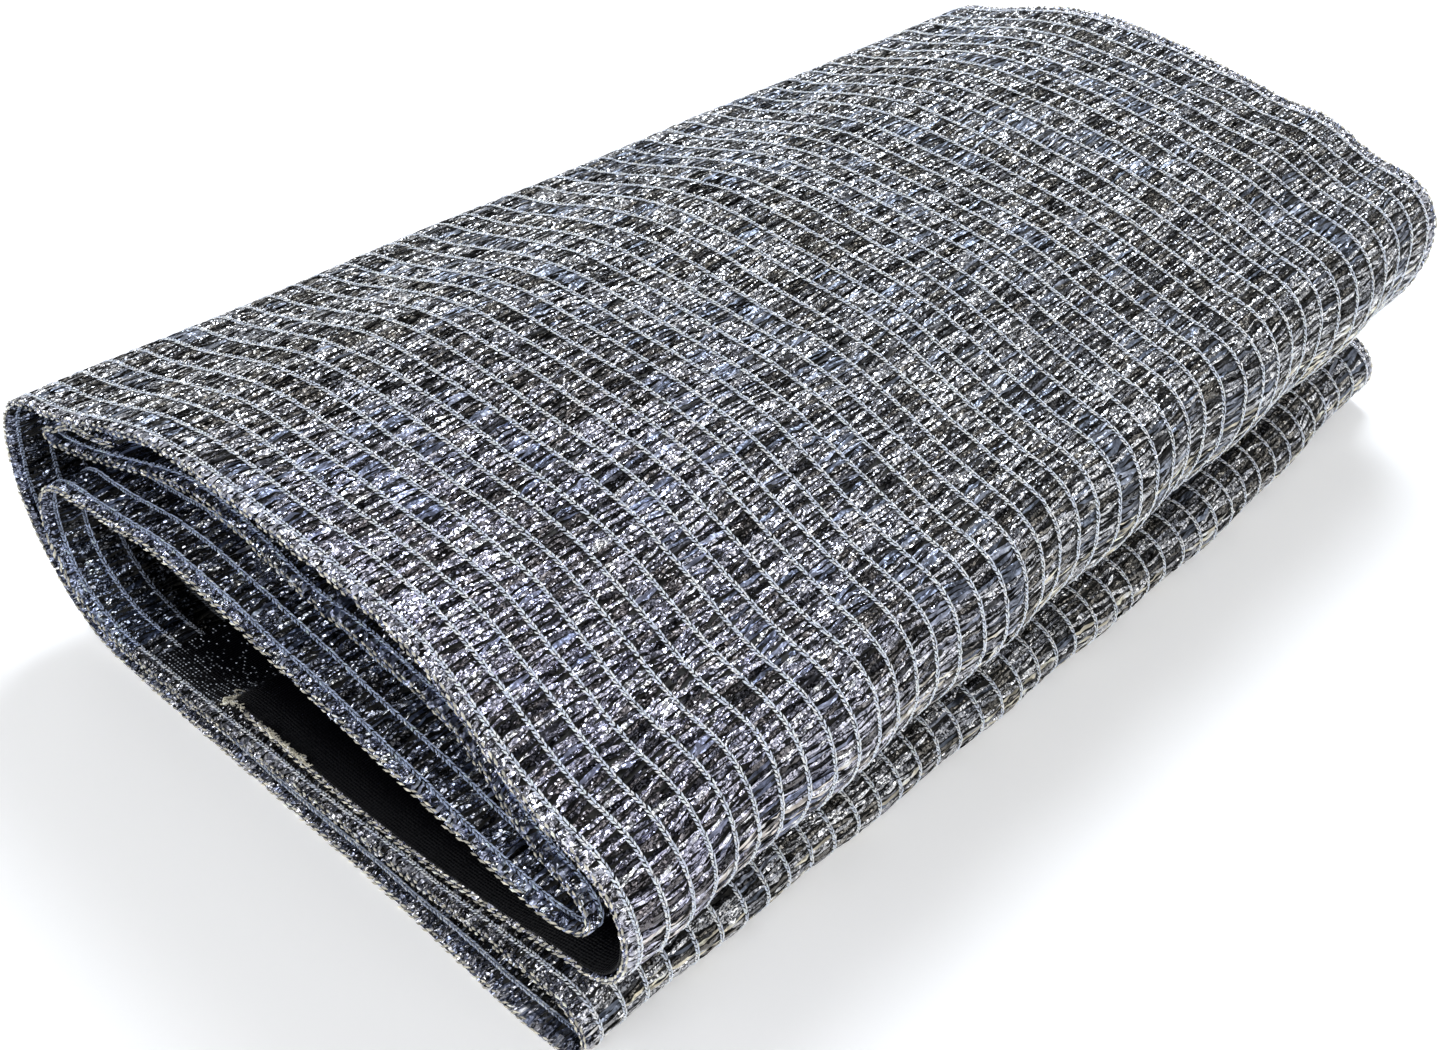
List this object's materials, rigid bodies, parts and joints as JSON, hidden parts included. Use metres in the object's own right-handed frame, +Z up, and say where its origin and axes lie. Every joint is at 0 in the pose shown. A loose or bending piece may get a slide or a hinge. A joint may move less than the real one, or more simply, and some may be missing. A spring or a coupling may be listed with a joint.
{
  "type": "folded shade cloth",
  "caption": "Knitted sun screen cloth of crumpled metallised strips, folded back and forth into a thick bundle, open at both ends, with a dark knitted band inside.",
  "frame": {"origin": "middle of the bundle's bounding box, on the surface it rests on", "axes": "+Y along the bundle from its near open end to its far one, +X across it from the broad fold to the side of the loose flap, +Z up"},
  "size_m": [0.3604, 0.533, 0.15],
  "materials": {
    "metallised_knit": "crumpled shiny metallised strips knitted between pale ribs",
    "black_knit": "dull black knit"
  },
  "bodies": {
    "root": {"shade_cloth": "metallised_knit", "black_band": "black_knit"}
  },
  "joints": []
}
